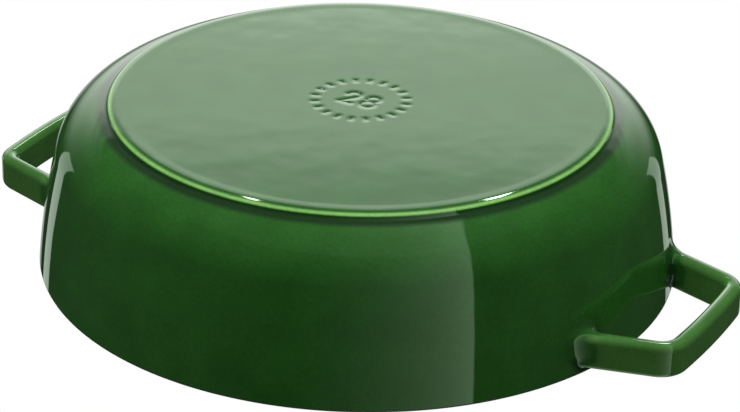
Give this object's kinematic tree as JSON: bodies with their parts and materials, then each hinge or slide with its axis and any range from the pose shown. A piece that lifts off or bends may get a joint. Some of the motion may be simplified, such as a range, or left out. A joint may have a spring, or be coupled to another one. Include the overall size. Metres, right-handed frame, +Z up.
{
  "type": "braiser pan",
  "caption": "Round, wide and low enamelled cast iron braiser with a curved wall, two flat loop handles at the rim and a flat ringed foot, open at the top.",
  "frame": {"origin": "centre of the plane that the foot stands on", "axes": "+Z up out of the mouth, X through both handles, -Y the front"},
  "size_m": [0.3536, 0.2878, 0.076],
  "materials": {
    "cast_iron": "bare grey iron under the enamel",
    "black_enamel": "matte black enamel with a fine texture",
    "green_glaze": "clear, deep basil green enamel, high gloss, lighter where it runs thin over edges"
  },
  "bodies": {
    "root": {"pan_casting": "cast_iron", "left_handle_casting": "cast_iron", "right_handle_casting": "cast_iron", "interior_enamel": "black_enamel", "wall_glaze": "green_glaze", "base_glaze": "green_glaze", "left_handle_glaze": "green_glaze", "right_handle_glaze": "green_glaze"}
  },
  "joints": []
}
